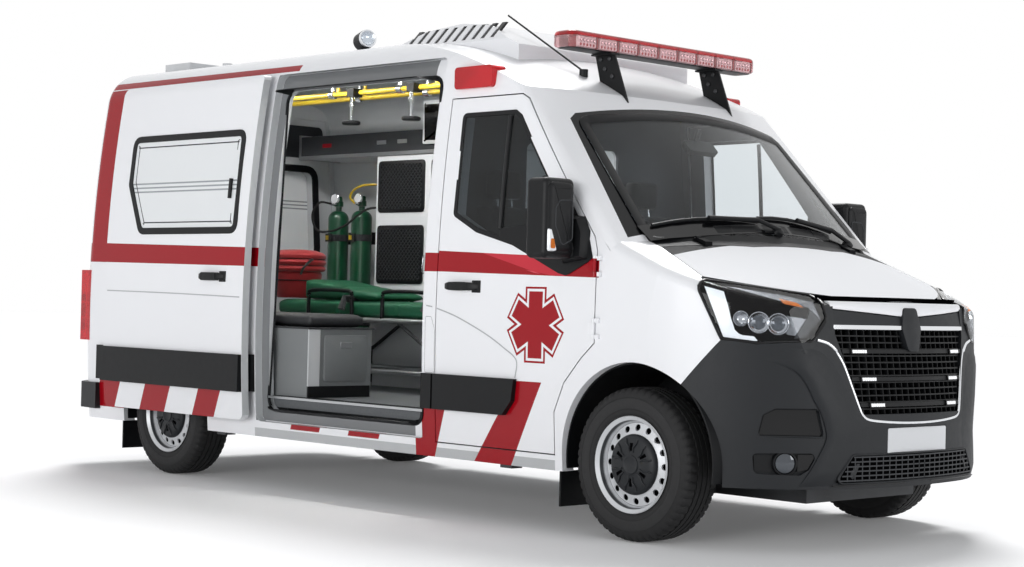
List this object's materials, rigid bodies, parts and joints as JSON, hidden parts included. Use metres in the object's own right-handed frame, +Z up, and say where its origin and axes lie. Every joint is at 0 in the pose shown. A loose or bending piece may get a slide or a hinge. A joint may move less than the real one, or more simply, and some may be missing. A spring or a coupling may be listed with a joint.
{
  "type": "ambulance van",
  "caption": "White high-roof ambulance van with red stripes, an open sliding side door, roof light bar and a fitted treatment space.",
  "frame": {"origin": "on the ground under the middle of the overall box", "axes": "+X forward, +Y to the vehicle's left, +Z up"},
  "size_m": [5.575, 2.47, 2.5642],
  "materials": {
    "white_paint": "gloss",
    "grey_plastic": "satin",
    "black_plastic": "satin",
    "glass": "clear",
    "lamp": "gloss",
    "red_lamp": "gloss",
    "tyre": "matte",
    "rim": "satin",
    "lining": "satin",
    "steel": "satin",
    "seat_fabric": "matte",
    "green_vinyl": "satin",
    "green_paint": "gloss",
    "tube_steel": "polished",
    "yellow_paint": "gloss"
  },
  "bodies": {
    "body": {"side_left": "white_paint", "side_right": "white_paint", "roof": "white_paint", "fenders": "white_paint", "sliding_door": "white_paint", "roof_unit": "white_paint", "cowl": "black_plastic", "front_bumper": "grey_plastic", "grille": "black_plastic", "headlamps": "lamp", "windscreen": "glass", "side_glass": "glass", "sliding_door_trim": "grey_plastic", "lower_trim": "grey_plastic", "rear_bumper": "grey_plastic", "red_lamps": "red_lamp", "light_bar": "lamp", "roof_fittings": "black_plastic", "floor_pan": "lining", "bulkhead": "lining", "dashboard": "black_plastic", "seats": "seat_fabric", "bench_box": "lining", "cabinets": "lining", "oxygen_cylinders": "green_paint", "stretcher_frame": "tube_steel", "stretcher_mattress": "green_vinyl", "grab_rails": "yellow_paint", "chassis": "steel", "engine": "steel", "front_suspension": "steel", "rear_axle": "steel"},
    "front_door_left": {"front_door_left": "white_paint", "front_door_glass_left": "glass", "front_door_trim_left": "grey_plastic"},
    "front_door_right": {"front_door_right": "white_paint", "front_door_glass_right": "glass", "front_door_trim_right": "grey_plastic"},
    "rear_door_left": {"rear_door_left": "white_paint", "rear_door_glass_left": "glass"},
    "rear_door_right": {"rear_door_right": "white_paint", "rear_door_glass_right": "glass"},
    "bonnet": {"bonnet": "white_paint"},
    "steering_wheel": {"steering_wheel": "black_plastic"},
    "knuckle_left": {"knuckle_left": "steel"},
    "knuckle_right": {"knuckle_right": "steel"},
    "wheel_front_left": {"tyre_front_left": "tyre", "rim_front_left": "rim"},
    "wheel_front_right": {"tyre_front_right": "tyre", "rim_front_right": "rim"},
    "wheel_rear_left": {"tyre_rear_left": "tyre", "rim_rear_left": "rim"},
    "wheel_rear_right": {"tyre_rear_right": "tyre", "rim_rear_right": "rim"}
  },
  "joints": [
    {"name": "front_door_left_hinge", "type": "hinge", "parent": "body", "child": "front_door_left", "pos_m": [1.7065, 1.025, 1.1], "axis": [0, 0, -1], "range_deg": [0, 75]},
    {"name": "front_door_right_hinge", "type": "hinge", "parent": "body", "child": "front_door_right", "pos_m": [1.7065, -1.025, 1.1], "axis": [0, 0, 1], "range_deg": [0, 75]},
    {"name": "rear_door_left_hinge", "type": "hinge", "parent": "body", "child": "rear_door_left", "pos_m": [-2.6675, 0.912, 1.075], "axis": [0, 0, -1], "range_deg": [0, 180]},
    {"name": "rear_door_right_hinge", "type": "hinge", "parent": "body", "child": "rear_door_right", "pos_m": [-2.6675, -0.912, 1.075], "axis": [0, 0, 1], "range_deg": [0, 180]},
    {"name": "bonnet_hinge", "type": "hinge", "parent": "body", "child": "bonnet", "pos_m": [1.9305, 0, 1.38299], "axis": [0, -1, 0], "range_deg": [0, 55]},
    {"name": "steer_left", "type": "hinge", "parent": "body", "child": "knuckle_left", "pos_m": [1.9185, 0.84, 0.349], "axis": [0, 0, 1], "range_deg": [-34, 34]},
    {"name": "steer_right", "type": "hinge", "parent": "body", "child": "knuckle_right", "pos_m": [1.9185, -0.84, 0.349], "axis": [0, 0, 1], "range_deg": [-34, 34]},
    {"name": "steering_wheel_turn", "type": "hinge", "parent": "body", "child": "steering_wheel", "pos_m": [1.3185, 0.47, 1.19], "axis": [-0.8211, 0, 0.5708], "range_deg": [-510, 510]},
    {"name": "wheel_front_left_spin", "type": "hinge", "parent": "knuckle_left", "child": "wheel_front_left", "pos_m": [1.9185, 0.875, 0.349], "axis": [0, 1, 0], "continuous": true},
    {"name": "wheel_front_right_spin", "type": "hinge", "parent": "knuckle_right", "child": "wheel_front_right", "pos_m": [1.9185, -0.875, 0.349], "axis": [0, 1, 0], "continuous": true},
    {"name": "wheel_rear_left_spin", "type": "hinge", "parent": "body", "child": "wheel_rear_left", "pos_m": [-1.7635, 0.865, 0.349], "axis": [0, 1, 0], "continuous": true},
    {"name": "wheel_rear_right_spin", "type": "hinge", "parent": "body", "child": "wheel_rear_right", "pos_m": [-1.7635, -0.865, 0.349], "axis": [0, 1, 0], "continuous": true}
  ],
  "couplings": [
    {"joint": "steer_right", "follows": "steer_left", "ratio": 1},
    {"joint": "steering_wheel_turn", "follows": "steer_left", "ratio": 15}
  ]
}
